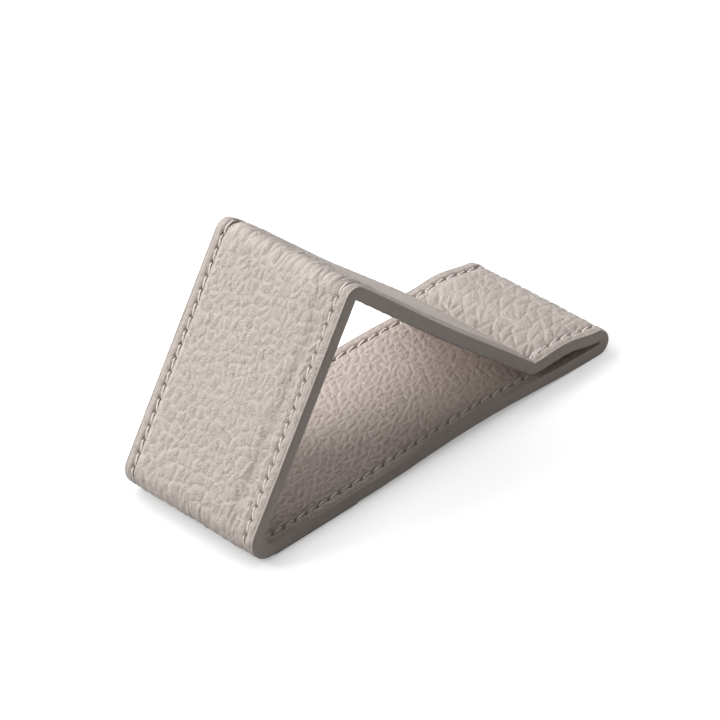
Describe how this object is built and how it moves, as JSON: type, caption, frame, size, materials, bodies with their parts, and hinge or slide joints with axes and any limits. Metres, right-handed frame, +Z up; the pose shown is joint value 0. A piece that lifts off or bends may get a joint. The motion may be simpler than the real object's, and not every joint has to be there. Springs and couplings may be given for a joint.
{
  "type": "leather phone strap",
  "caption": "Sewn leather band folded into a small stand, with a thin pad under the base that fastens it to a phone.",
  "frame": {"origin": "on the surface that the stand rests on, under the middle of its bounding box", "axes": "+X along the base from the foot of the front panel to the tight fold, +Y across the strap, +Z up to the peak fold"},
  "size_m": [0.0936, 0.038, 0.0466],
  "materials": {
    "outer_leather": "pebbled grain, soft satin",
    "lining_leather": "pebbled grain, soft satin",
    "mounting_pad": "smooth matte"
  },
  "bodies": {
    "root": {"outer_leather": "outer_leather", "lining_leather": "lining_leather", "mounting_pad": "mounting_pad"}
  },
  "joints": []
}
